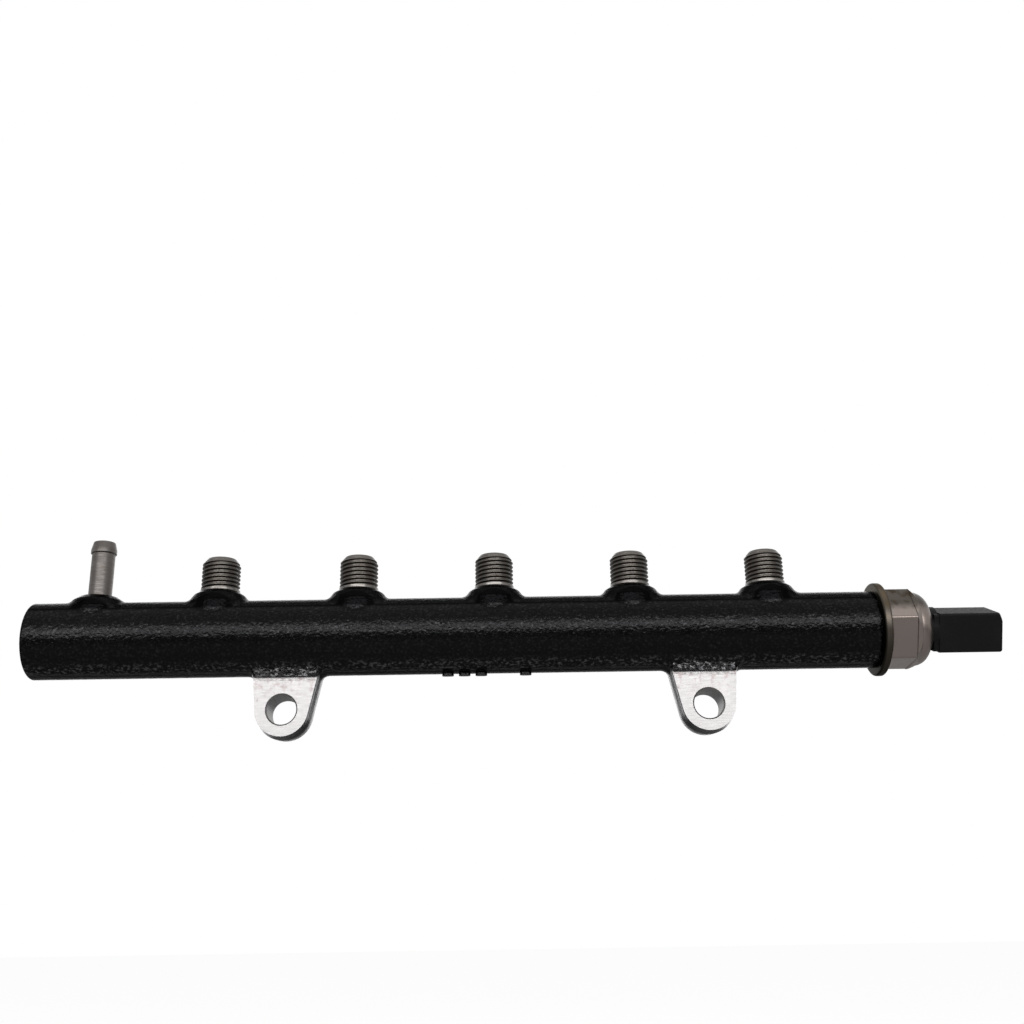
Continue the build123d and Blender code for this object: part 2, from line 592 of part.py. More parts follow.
with BuildPart() as sensor_connector:
    with BuildSketch(across(base_x)):
        Circle(BASE_D / 2)
    extrude(amount=BASE_LENGTH)
    with BuildSketch(across(base_x)):
        Circle(NECK_D / 2)
    extrude(amount=socket_x - base_x)
    with BuildSketch(across(collar_x, SENSOR_CLOCK)) as collar_section:
        with Locations((0, SOCKET_DROP)):
            Rectangle(SOCKET_WIDTH - 2 * COLLAR_INSET, SOCKET_HEIGHT - 2 * COLLAR_INSET)
        fillet(collar_section.vertices(), radius=SOCKET_EDGE_ROUND)
    extrude(amount=socket_x - collar_x)
    with BuildSketch(across(socket_x, SENSOR_CLOCK)) as socket_section:
        with Locations((0, SOCKET_DROP)):
            Rectangle(SOCKET_WIDTH, SOCKET_HEIGHT)
        fillet(socket_section.vertices(), radius=SOCKET_EDGE_ROUND)
    extrude(amount=SOCKET_LENGTH)
    # upper lip of the mouth cut back at a slant
    with BuildSketch(side_on(socket_end_x)):
        Polygon((0, socket_top), (-MOUTH_CUT, socket_top), (0, socket_top - MOUTH_CUT_HEIGHT), align=None)
    extrude(amount=SOCKET_WIDTH, both=True, mode=Mode.SUBTRACT)
    fillet(sensor_connector.edges().group_by(Axis.X)[-1], radius=SOCKET_END_ROUND)
    # lock nib on the back of the socket, ramped towards the open end
    with BuildSketch(along_row(socket_end_x - NIB_SETBACK)):
        Polygon(
            (-NIB_LENGTH, -SOCKET_WIDTH / 2),
            (-NIB_LENGTH, -SOCKET_WIDTH / 2 - NIB_HEIGHT),
            (0, -SOCKET_WIDTH / 2),
            align=None,
        )
    extrude(amount=NIB_WIDTH / 2, both=True)
    # socket with two keys on its lower wall
    with BuildSketch(across(socket_floor_x, SENSOR_CLOCK)):
        with Locations((0, SOCKET_DROP)):
            Rectangle(SOCKET_WIDTH - 2 * SOCKET_WALL, SOCKET_HEIGHT - 2 * SOCKET_WALL)
        with Locations((0, SOCKET_DROP + SOCKET_HEIGHT / 2 - SOCKET_WALL)):
            with GridLocations(KEY_SPACING, 0, 2, 1):
                Rectangle(KEY_WIDTH, 2 * KEY_HEIGHT, mode=Mode.SUBTRACT)
    extrude(amount=SOCKET_DEPTH, mode=Mode.SUBTRACT)
    # slots moulded round the pins
    with BuildSketch(across(base_x, SENSOR_CLOCK)):
        with GridLocations(PIN_PITCH, 0, 3, 1):
            Rectangle(PIN_WIDTH + 2 * PRESS_CLEARANCE, PIN_THICKNESS + 2 * PRESS_CLEARANCE)
    extrude(amount=socket_floor_x - base_x, mode=Mode.SUBTRACT)
save(sensor_connector.part, "sensor_connector")

for number, pin_offset in enumerate(pin_row, start=1):
    with BuildPart() as pin:
        with BuildSketch(across(pin_foot_x, SENSOR_CLOCK)):
            with Locations((pin_offset, 0)):
                Rectangle(PIN_WIDTH, PIN_THICKNESS)
        extrude(amount=pin_length)
        pin_tip = pin.faces().sort_by(Axis.X)[-1]
        chamfer(pin_tip.edges(), length=PIN_TIP_CHAMFER)
    save(pin.part, f"terminal_{number}")

# C-shaped contacts between the board and the feet of the pins
board_top_x = board_x + BOARD_THICKNESS
contact_radius = (pin_foot_x - board_top_x) / 2 - CONTACT_GAP
with BuildPart() as contact_springs:
    for pin_offset in pin_row:
        with BuildSketch(along_row((board_top_x + pin_foot_x) / 2)):
            with Locations((0, pin_offset)):
                Circle(contact_radius)
                Circle(contact_radius - SPRING_STRIP, mode=Mode.SUBTRACT)
                with Locations((0, contact_radius)):
                    Rectangle(SPRING_STRIP_GAP, contact_radius, mode=Mode.SUBTRACT)
        extrude(amount=SPRING_STRIP_WIDTH / 2, both=True)
save(contact_springs.part, "contact_springs")

seal_radius = NECK_D / 2 + SEAL_CLEARANCE + SEAL_SECTION_D / 2
with BuildPart(across(base_end_x + SEAL_SECTION_D / 2 + CONTACT_GAP)) as connector_seal:
    Torus(seal_radius, SEAL_SECTION_D / 2)
save(connector_seal.part, "connector_seal")
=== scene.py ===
import json
import math

import bpy
from mathutils import Matrix, Vector


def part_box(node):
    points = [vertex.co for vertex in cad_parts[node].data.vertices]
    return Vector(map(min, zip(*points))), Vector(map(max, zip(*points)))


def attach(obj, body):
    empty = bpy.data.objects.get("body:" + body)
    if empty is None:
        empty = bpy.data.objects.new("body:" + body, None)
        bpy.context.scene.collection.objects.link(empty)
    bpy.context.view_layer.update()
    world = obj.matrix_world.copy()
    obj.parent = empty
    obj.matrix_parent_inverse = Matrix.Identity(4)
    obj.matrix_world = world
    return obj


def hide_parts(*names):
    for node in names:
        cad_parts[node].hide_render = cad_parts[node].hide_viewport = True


bl_info = {
    "name": "Diesel Fuel Rail",
    "version": (1, 0, 0),
    "blender": (4, 5, 0),
    "location": "View3D > Sidebar > Fuel Rail",
    "description": "Dresses a forged common-rail fuel rail: threads, milled faces, sensor and finishes",
    "category": "Object",
}

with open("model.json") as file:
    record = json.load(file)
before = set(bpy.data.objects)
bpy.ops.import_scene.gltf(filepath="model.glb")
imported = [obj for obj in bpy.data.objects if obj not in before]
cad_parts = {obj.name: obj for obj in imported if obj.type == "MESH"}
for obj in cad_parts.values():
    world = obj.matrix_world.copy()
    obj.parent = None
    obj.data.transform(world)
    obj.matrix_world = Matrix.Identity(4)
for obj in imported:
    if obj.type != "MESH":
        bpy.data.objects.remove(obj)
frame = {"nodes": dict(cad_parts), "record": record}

MM = 0.001
RAIL = "rail"
MOUNTS = {mount["name"]: mount for mount in frame["record"]["mounts"]}
STUBS = [mount for name, mount in MOUNTS.items() if name.endswith("_stub")]
EAR_BOLTS = MOUNTS["ear_bolts"]
BODY_LOW, BODY_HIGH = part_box("rail_body")
SHELL_LOW, SHELL_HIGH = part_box("sensor_shell")

# Places on the forging
RAIL_AXIS_Y = STUBS[0]["pos_m"][1]
RAIL_AXIS_Z = (SHELL_LOW.z + SHELL_HIGH.z) / 2
EAR_X = EAR_BOLTS["dims"]["spacing_x_mm"] * MM / 2
EAR_HOLE_RADIUS = EAR_BOLTS["dims"]["hole_r_mm"] * MM
EAR_HOLE_CHAMFER = 0.6 * MM
LEDGE_Z = 11.6 * MM          # the ledge over the milled ear faces
WEB_TOP_Z = 17.5 * MM        # the web between the ledge and the tube
SPOT_FACE_Y = 13.4 * MM      # turned faces for the bolt heads, behind the ears
SPOT_FACE_RADIUS = 9.0 * MM
BORE_REACH = 9.2 * MM        # no wall of a bore lies farther than this from the rail's axis
LAND_RADIUS = 7.3 * MM       # turned land under each thread
LAND_HEIGHT = 0.85 * MM
WEB_FRONT_Y = 0.5 * MM       # the web's rough front lies nearer than this
BOSS_Z = 36.0 * MM           # the bosses stand out of the tube above this
BOSS_FRONT_Y = -3.2 * MM     # the bosses' fronts lie nearer than this

# Sensor shell: outlines are (radius, distance from the flange's face) in millimetres
SENSOR_CLOCK = math.radians(26)       # the front flat faces this far below the horizontal
HEX_ACROSS = 26.0 * MM
HEX_CORNER_ROUND = 1.2 * MM
HEX_START = 0.7 * MM                  # inside the flange
HEX_END = 15.5 * MM                   # inside the cap
SHOULDER_STEP = 0.4 * MM              # the shoulder stands this proud of the flats
SHOULDER_START = 12.4 * MM
SHOULDER_END = 18.0 * MM
FLANGE_END = 2.95 * MM                # just past the flange's second face
FLANGE_ROUND = 0.8
FLANGE_ROUND_CENTRES = ((16.08, 0.8), (16.08, 2.1))
CORNER_ENVELOPE = ((0, 0.3), (15.2, 0.3), (15.2, 12.2), (13.3, 14.5), (0, 14.5))
FLANGE_ROOT = ((15.2, 2.9), (14.4, 3.15), (13.9, 3.9), (0, 3.9))
CAP_FOOT = ((0, 13.0), (13.35, 13.0))
CAP_ROUND = 5.3
CAP_ROUND_CENTRE = (8.1, 14.0)
DOME_TOP = 19.24
CAVITY = (
    (0, -1), (12.1, -1), (12.1, 11.5), (11.6, 13.5), (10.8, 15.6), (9.4, 17.6), (8.4, 18.5),
    (8.4, 21), (0, 21),
)
SHELL_STEPS = 96

# Cutter marks are drawn out along the axes where these are small
ROUND_THE_RAIL = (1, 0.1, 0.1)
ROUND_A_STUB = (0.1, 0.1, 1)
UP_A_STUB = (1, 1, 0.1)
ALONG_THE_RAIL = (0.1, 1, 1)
EVERY_WAY = (1, 1, 1)

HALF_TINT = (0.5, 0.5, 0.5, 1)        # a specular tint that keeps a metal's edges from paling

SMOOTH_ANGLE = math.radians(32)       # edges sharper than this stay crisp
MERGE_GAP = 2e-6                      # points closer than this, in metres, are merged
EDGE_GAP = 0.02 * MM                  # how far a face may lie from the plane it is looked for in
CLEARANCE = 1.0 * MM                  # how far the tools that cut the stubs off reach past them


# Kinds of settings


def length_setting(name, description, default):
    """A length that the user can change."""
    return bpy.props.FloatProperty(
        name=name, description=description, default=default, subtype="DISTANCE", unit="LENGTH",
    )


def angle_setting(name, description, default):
    """An angle that the user can change."""
    return bpy.props.FloatProperty(
        name=name, description=description, default=default, subtype="ANGLE", unit="ROTATION",
    )


def power_setting(name, description, default):
    """A lamp's power that the user can change."""
    return bpy.props.FloatProperty(
        name=name, description=description, default=default, min=0, subtype="POWER", unit="POWER",
    )


def colour_setting(name, description, default):
    """A colour that the user can change."""
    return bpy.props.FloatVectorProperty(
        name=name, description=description, default=default, subtype="COLOR", size=3, min=0, max=1,
    )


class ThreadSizes(bpy.types.PropertyGroup):
    """Sizes of the line stubs' threads and seats."""

    pitch: length_setting("Pitch", "Rise of the stub thread in one turn", 1.5 * MM)
    depth: length_setting("Depth", "Depth of the thread groove", 0.92 * MM)
    root_flat: length_setting("Root flat", "Width of the flat at the bottom of the groove", 0.36 * MM)
    crest_flat: length_setting(
        "Crest flat", "Width of the flat left between two turns of the groove", 0.22 * MM,
    )
    tip_radius: length_setting("Tip radius", "Radius of the flat ring at the tip of a stub", 5.3 * MM)
    seat_mouth: length_setting("Seat mouth", "Radius of the mouth of the 60 degree cone seat", 4.5 * MM)
    bore_radius: length_setting("Bore", "Radius of the drilling down the stub", 1.5 * MM)
    lead_in: bpy.props.FloatProperty(
        name="Lead-in", description="How many turns below the land the thread starts",
        default=0.5, min=0, max=1,
    )
    steps: bpy.props.IntProperty(
        name="Steps", description="Steps in one turn of a turned surface",
        default=72, min=24, max=128,
    )


class RailFinishes(bpy.types.PropertyGroup):
    """Colours of the rail's finishes."""

    paint: colour_setting("Paint", "Black coating of the forging", (0.0100, 0.0100, 0.0105))
    # Lighter patches of the coating: partly dust, partly painted sheen
    paint_dust_and_sheen: colour_setting(
        "Paint, worn", "The coating where it is dusty or rubbed", (0.0135, 0.0135, 0.0138),
    )
    # Painted shade in the coating's pits
    paint_pit_shade: colour_setting("Paint, pits", "The coating in its pits", (0.0078, 0.0078, 0.0081))
    # Painted glints on the coating's raised grains
    paint_glint: colour_setting("Paint, flecks", "The coating on its raised grains", (0.025, 0.025, 0.026))
    # Painted shade: a darker coating colour laid on the bosses' fronts and over everything above their feet
    paint_painted_shade: colour_setting(
        "Paint, sheltered", "The dull coating on the bosses", (0.0018, 0.0018, 0.0020),
    )
    # Painted glints: light grains on the rough webs that stand in for highlights
    paint_web_glints: colour_setting("Paint, webs", "Rubbed grains on the rough webs", (0.07, 0.07, 0.072))
    milled: colour_setting("Milled steel", "Freshly milled ear faces", (0.34, 0.33, 0.33))
    milled_stain: colour_setting(
        "Milled steel, stained", "Faint blotches on the ear faces", (0.24, 0.20, 0.195),
    )
    # Painted shade: the darker line just under the ledge
    milled_painted_shade: colour_setting("Milled steel, rubbed", "The line under the ledge", (0.16, 0.15, 0.15))
    milled_speck: colour_setting(
        "Milled steel, specks", "Small dents in the ear faces", (0.07, 0.065, 0.06),
    )
    thread: colour_setting("Thread steel", "Grey-brown steel of the threaded stubs", (0.098, 0.090, 0.082))
    nipple: colour_setting("Nipple steel", "Dull plated steel of the return nipple", (0.115, 0.106, 0.100))
    shell: colour_setting("Sensor steel", "Satin plated steel of the sensor's shell", (0.190, 0.160, 0.145))
    # Painted shade: the darker colour of the shell's upper side
    shell_painted_shade: colour_setting("Sensor steel, dull", "The upper side of the shell", (0.050, 0.043, 0.036))
    shell_stain: colour_setting(
        "Sensor steel, stained", "Brown stains on the upper side", (0.026, 0.018, 0.010),
    )
    shell_tint: colour_setting(
        "Sensor steel, tinted", "Golden tint left by heat on the flange", (0.085, 0.060, 0.034),
    )
    flange: colour_setting("Flange steel", "Olive plating of the flange", (0.078, 0.068, 0.058))
    # Painted shade: the darker colour of the flange's lower side
    flange_painted_shade: colour_setting("Flange steel, below", "The lower side of the flange", (0.030, 0.026, 0.021))
    socket: colour_setting(
        "Socket plastic", "Black moulded plastic of the sensor's socket", (0.0038, 0.0038, 0.0041),
    )


class StudioSettings(bpy.types.PropertyGroup):
    """The floor, the sky and the lamps."""

    floor_drop: length_setting("Floor drop", "Height of the floor under the middle of the ears", -0.30)
    floor_colour: colour_setting("Floor", "Pale floor", (0.84, 0.84, 0.84))
    sky: bpy.props.FloatProperty(
        name="Sky", description="Strength of the light from all round",
        default=0.30, min=0, max=2,
    )
    key: power_setting("Key lamp", "Power of the wide lamp in front of the rail", 17.0)
    top: power_setting("Top lamp", "Power of the lamp above the rail", 2.5)
    back: power_setting("Back lamp", "Power of the lamp behind the rail", 4.0)
    floor_lift: bpy.props.FloatProperty(
        name="Floor lift", description="White added to the floor where the camera sees it",
        default=0.72, min=0, max=1,
    )
    lens: bpy.props.FloatProperty(
        name="Lens", description="Focal length of the camera in millimetres",
        default=43.28, min=10, max=200,
    )
    camera_place: bpy.props.FloatVectorProperty(
        name="Camera", description="Place of the camera",
        default=(0.00507, -0.43287, -0.07614), subtype="XYZ", size=3, unit="LENGTH",
    )
    camera_pitch: angle_setting("Camera pitch", "How far the camera looks up", math.radians(18.93))
    camera_yaw: angle_setting("Camera yaw", "How far the camera looks to the right", math.radians(0.25))
    camera_roll: angle_setting(
        "Camera roll", "How far the camera leans, positive to the left", math.radians(-0.91),
    )


# Helpers for modelling


def clear_selection():
    """Leaves edit mode and selects nothing."""
    if bpy.context.object and bpy.context.object.mode != "OBJECT":
        bpy.ops.object.mode_set(mode="OBJECT")
    bpy.ops.object.select_all(action="DESELECT")


def pick(piece):
    """Selects one piece alone."""
    clear_selection()
    piece.select_set(True)
    bpy.context.view_layer.objects.active = piece


def finish_modifier(piece, kind, **settings):
    """Adds a modifier with these settings and applies it."""
    pick(piece)
    modifier = piece.modifiers.new(kind.lower(), kind)
    for key, value in settings.items():
        setattr(modifier, key, value)
    bpy.ops.object.modifier_apply(modifier=modifier.name)


def cut_with(piece, tool, operation="DIFFERENCE"):
    """Cuts a piece with a tool, or joins the two, and throws the tool away."""
    finish_modifier(piece, "BOOLEAN", operation=operation, object=tool, solver="EXACT")
    bpy.data.objects.remove(tool)


def smooth(piece, angle=SMOOTH_ANGLE):
    """Shades a piece smooth, with edges sharper than the angle left crisp."""
    pick(piece)
    bpy.ops.object.shade_smooth_by_angle(angle=angle)


def settle(piece):
    """Puts a piece's place and turn into its mesh."""
    pick(piece)
    bpy.ops.object.transform_apply(location=True, rotation=True, scale=True)


def section(name, outline, place):
    """A closed chain of edges through (radius, height) points, beside the vertical line at place."""
    clear_selection()
    bpy.ops.mesh.primitive_plane_add(size=MM, location=place)
    piece = bpy.context.object
    piece.name = name
    bpy.ops.object.mode_set(mode="EDIT")
    bpy.ops.mesh.select_all(action="SELECT")
    bpy.ops.mesh.merge(type="CENTER")
    first, *others = [Vector((radius, 0, height)) for radius, height in outline]
    bpy.ops.transform.translate(value=first)
    here = first
    for corner in others:
        bpy.ops.mesh.extrude_vertices_move(TRANSFORM_OT_translate={"value": corner - here})
        here = corner
    bpy.ops.object.mode_set(mode="OBJECT")
    piece.data.vertices[0].select = True
    bpy.ops.object.mode_set(mode="EDIT")
    bpy.ops.mesh.edge_face_add()
    bpy.ops.object.mode_set(mode="OBJECT")
    return piece


def turned(name, outline, place, steps):
    """A piece turned about the vertical line at place, from its closed (radius, height) outline."""
    piece = section(name, outline, place)
    finish_modifier(
        piece, "SCREW", axis="Z", angle=math.tau, steps=steps, render_steps=steps,
        use_merge_vertices=True, merge_threshold=MERGE_GAP,
    )
    face_outwards(piece)
    return piece


def face_outwards(piece):
    """Merges doubled points and turns every face outwards."""
    pick(piece)
    bpy.ops.object.mode_set(mode="EDIT")
    bpy.ops.mesh.select_all(action="SELECT")
    bpy.ops.mesh.remove_doubles(threshold=MERGE_GAP)
    bpy.ops.mesh.normals_make_consistent(inside=False)
    bpy.ops.object.mode_set(mode="OBJECT")


def copy_of(node, name=None):
    """A merged copy of a CAD node that can be dressed in its place."""
    source = frame["nodes"][node]
    piece = bpy.data.objects.new(name or node + "_dressed", source.data.copy())
    bpy.context.scene.collection.objects.link(piece)
    piece.data.materials.clear()
    pick(piece)
    if piece.data.has_custom_normals:
        bpy.ops.mesh.customdata_custom_splitnormals_clear()
    bpy.ops.object.mode_set(mode="EDIT")
    bpy.ops.mesh.select_all(action="SELECT")
    bpy.ops.mesh.remove_doubles(threshold=MERGE_GAP)
    bpy.ops.object.mode_set(mode="OBJECT")
    return piece


def coat(piece, material, test=None):
    """Gives a finish to the whole piece, or to the faces whose middle and normal pass the test."""
    if material.name not in piece.data.materials:
        piece.data.materials.append(material)
    index = piece.data.materials.find(material.name)
    for face in piece.data.polygons:
        if test is None or test(face.center, face.normal):
            face.material_index = index


def recoat(node, material):
    """Gives a CAD node one finish."""
    piece = frame["nodes"][node]
    piece.data.materials.clear()
    piece.data.materials.append(material)


def rests_on_rail(piece, slot, *nodes):
    """The piece rides on the rail and stands for these CAD nodes, which are hidden; the slot is not used.
    """
    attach(piece, RAIL)
    if nodes:
        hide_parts(*nodes)


# Helpers for finishes


def new_group(name, inputs, outputs):
    """An empty node group with named sockets; returns its tree, its input node and its output node."""
    tree = bpy.data.node_groups.new(name, "ShaderNodeTree")
    for label, kind, value in inputs:
        socket = tree.interface.new_socket(name=label, in_out="INPUT", socket_type=kind)
        if value is not None:
            socket.default_value = value
    for label, kind in outputs:
        tree.interface.new_socket(name=label, in_out="OUTPUT", socket_type=kind)
    return tree, tree.nodes.new("NodeGroupInput"), tree.nodes.new("NodeGroupOutput")


def put(tree, kind, **inputs):
    """Adds a node; an input is a number, a colour or another node's output."""
    node = tree.nodes.new(kind)
    for label, value in inputs.items():
        feed(tree, node, label.replace("_", " "), value)
    return node


def feed(tree, node, label, value):
    """Sets a node's input, or links another node's output to it."""
    socket = node.inputs[label]
    if isinstance(value, bpy.types.NodeSocket):
        tree.links.new(value, socket)
    else:
        socket.default_value = value


def calculate(tree, operation, first, second=0.0, clamp=False):
    """One step of arithmetic on values."""
    node = tree.nodes.new("ShaderNodeMath")
    node.operation = operation
    node.use_clamp = clamp
    for index, value in enumerate((first, second)):
        if isinstance(value, bpy.types.NodeSocket):
            tree.links.new(value, node.inputs[index])
        else:
            node.inputs[index].default_value = value
    return node.outputs[0]


def between(tree, value, low, high, to_low=0.0, to_high=1.0):
    """Maps a value smoothly from one range to another, held at both ends."""
    node = tree.nodes.new("ShaderNodeMapRange")
    node.interpolation_type = "SMOOTHSTEP"
    tree.links.new(value, node.inputs["Value"])
    node.inputs["From Min"].default_value = low
    node.inputs["From Max"].default_value = high
    node.inputs["To Min"].default_value = to_low
    node.inputs["To Max"].default_value = to_high
    return node.outputs["Result"]


def blend_colours(tree, share, first, second):
    """Mixes two colours by a share from 0 to 1."""
    node = tree.nodes.new("ShaderNodeMix")
    node.data_type = "RGBA"
    tree.links.new(share, node.inputs["Factor"])
    for index, value in ((6, first), (7, second)):
        if isinstance(value, bpy.types.NodeSocket):
            tree.links.new(value, node.inputs[index])
        else:
            node.inputs[index].default_value = (*value, 1)
    return node.outputs[2]


def grain_group():
    """Bumps of a coated or cast surface, from 0 to 1, with a share of larger ones."""
    tree, given, made = new_group(
        "surface_grain",
        [("Vector", "NodeSocketVector", None), ("Scale", "NodeSocketFloat", 900.0),
         ("Coarse", "NodeSocketFloat", 0.3)],
        [("Height", "NodeSocketFloat"), ("Coarse height", "NodeSocketFloat")],
    )
    fine = put(
        tree, "ShaderNodeTexNoise", Vector=given.outputs["Vector"], Scale=given.outputs["Scale"],
        Detail=2.0, Roughness=0.55,
    )
    coarse_scale = calculate(tree, "MULTIPLY", given.outputs["Scale"], 0.31)
    coarse = put(
        tree, "ShaderNodeTexNoise", Vector=given.outputs["Vector"], Scale=coarse_scale,
        Detail=1.0, Roughness=0.5,
    )
    share = calculate(tree, "MULTIPLY", coarse.outputs["Fac"], given.outputs["Coarse"])
    height = calculate(tree, "ADD", fine.outputs["Fac"], share)
    tree.links.new(height, made.inputs["Height"])
    tree.links.new(coarse.outputs["Fac"], made.inputs["Coarse height"])
    return tree


def patches_group():
    """Patches where noise passes a threshold, as a mask from 0 to 1."""
    tree, given, made = new_group(
        "patches",
        [("Vector", "NodeSocketVector", None), ("Scale", "NodeSocketFloat", 60.0),
         ("Threshold", "NodeSocketFloat", 0.55), ("Softness", "NodeSocketFloat", 0.08)],
        [("Mask", "NodeSocketFloat")],
    )
    noise = put(
        tree, "ShaderNodeTexNoise", Vector=given.outputs["Vector"], Scale=given.outputs["Scale"],
        Detail=5.0, Roughness=0.62,
    )
    excess = calculate(tree, "SUBTRACT", noise.outputs["Fac"], given.outputs["Threshold"])
    mask = calculate(tree, "DIVIDE", excess, given.outputs["Softness"], clamp=True)
    tree.links.new(mask, made.inputs["Mask"])
    return tree


def tool_marks_group():
    """Fine lines left by a cutter, from 0 to 1, drawn out along the direction the vector is squeezed in."""
    tree, given, made = new_group(
        "tool_marks",
        [("Vector", "NodeSocketVector", None), ("Scale", "NodeSocketFloat", 4000.0)],
        [("Lines", "NodeSocketFloat")],
    )
    lines = put(
        tree, "ShaderNodeTexNoise", Vector=given.outputs["Vector"], Scale=given.outputs["Scale"],
        Detail=3.0, Roughness=0.6,
    )
    tree.links.new(lines.outputs["Fac"], made.inputs["Lines"])
    return tree


def use_group(tree, name, **inputs):
    """Places a shared group in a material."""
    node = tree.nodes.new("ShaderNodeGroup")
    node.node_tree = bpy.data.node_groups[name]
    for label, value in inputs.items():
        feed(tree, node, label.replace("_", " "), value)
    return node.outputs


def new_finish(name, metallic, roughness, **constants):
    """A material with its shader's constants set; returns it, its tree and its shader."""
    material = bpy.data.materials.new(name)
    material.use_nodes = True
    tree = material.node_tree
    shader = tree.nodes["Principled BSDF"]
    shader.inputs["Metallic"].default_value = metallic
    shader.inputs["Roughness"].default_value = roughness
    for label, value in constants.items():
        shader.inputs[label.replace("_", " ")].default_value = value
    return material, tree, shader


def place_on_piece(tree, stretch=(1, 1, 1)):
    """Object coordinates, squeezed or drawn out along each axis."""
    where = tree.nodes.new("ShaderNodeTexCoord")
    mapping = put(tree, "ShaderNodeMapping", Vector=where.outputs["Object"], Scale=stretch)
    return mapping.outputs["Vector"]


def axes_of_piece(tree):
    """The x, y and z of a point on the piece."""
    where = tree.nodes.new("ShaderNodeTexCoord")
    split = put(tree, "ShaderNodeSeparateXYZ", Vector=where.outputs["Object"])
    return split.outputs["X"], split.outputs["Y"], split.outputs["Z"]


def raise_surface(tree, shader, height, distance, strength=1.0):
    """Bumps the surface by a height from 0 to 1, times a distance in metres."""
    bump = put(tree, "ShaderNodeBump", Height=height, Distance=distance, Strength=strength)
    tree.links.new(bump.outputs["Normal"], shader.inputs["Normal"])


def paint_on_tube(tree, finishes, where):
    """The coating with patches of dust and painted sheen, painted shade in its pits and painted glints on
    its raised grains.
    """
    # Patches of dust and painted sheen, a little lighter than the coating
    dust = use_group(tree, "patches", Vector=where, Scale=45.0, Threshold=0.48, Softness=0.3)
    even = blend_colours(tree, dust["Mask"], finishes.paint, finishes.paint_dust_and_sheen)
    grain = use_group(tree, "surface_grain", Vector=where, Scale=1250.0, Coarse=0.0)
    # Painted shade in the pits and painted glints on the raised grains of a fine noise
    level = between(tree, grain["Height"], 0.40, 0.62)
    with_pit_shade = blend_colours(tree, level, finishes.paint_pit_shade, even)
    raised = between(tree, grain["Height"], 0.56, 0.70, 0.0, 0.6)
    return blend_colours(tree, raised, with_pit_shade, finishes.paint_glint)


def forging_paint(finishes):
    """Semi-gloss black coating with an orange-peel skin, with painted shade on the bosses, and rough with
    painted glints on the webs.
    """
    material, tree, shader = new_finish("forging_paint", 1.0, 0.2, Specular_Tint=HALF_TINT)
    along = place_on_piece(tree, (0.85, 1, 1))
    _, y, z = axes_of_piece(tree)
    # Painted shade: the bosses' fronts and everything above BOSS_Z take a darker colour that dims their
    # reflections
    boss_front_shade = calculate(
        tree, "MULTIPLY",
        between(tree, z, BOSS_Z - 0.6 * MM, BOSS_Z + 0.8 * MM),
        between(tree, y, BOSS_FRONT_Y, BOSS_FRONT_Y - 1 * MM, 0.0, 0.93),
    )
    painted_top_shade = between(tree, z, BOSS_Z, BOSS_Z + 4 * MM, 0.0, 0.6)
    painted_shade = calculate(tree, "MAXIMUM", painted_top_shade, boss_front_shade)
    colour = paint_on_tube(tree, finishes, along)
    with_painted_shade = blend_colours(tree, painted_shade, colour, finishes.paint_painted_shade)
    # Painted glints: light grains on the rough webs over the ears
    web = calculate(
        tree, "MULTIPLY",
        between(tree, z, WEB_TOP_Z, WEB_TOP_Z - 2.5 * MM),
        between(tree, y, WEB_FRONT_Y + 2.5 * MM, WEB_FRONT_Y),
    )
    grains = use_group(tree, "patches", Vector=along, Scale=900.0, Threshold=0.52, Softness=0.1)
    painted_light = calculate(tree, "MULTIPLY", grains["Mask"], web)
    coloured = blend_colours(tree, painted_light, with_painted_shade, finishes.paint_web_glints)
    tree.links.new(coloured, shader.inputs["Base Color"])
    skin = use_group(tree, "surface_grain", Vector=along, Scale=1000.0, Coarse=0.35)
    roughness = between(tree, skin["Coarse height"], 0.3, 0.7, 0.13, 0.19)
    tree.links.new(roughness, shader.inputs["Roughness"])
    cast = use_group(tree, "surface_grain", Vector=along, Scale=700.0, Coarse=0.8)
    rough_web = calculate(tree, "MULTIPLY", calculate(tree, "MULTIPLY", cast["Height"], web), 2.2)
    height = calculate(tree, "ADD", skin["Height"], rough_web)
    raise_surface(tree, shader, height, 0.2 * MM)
    return material


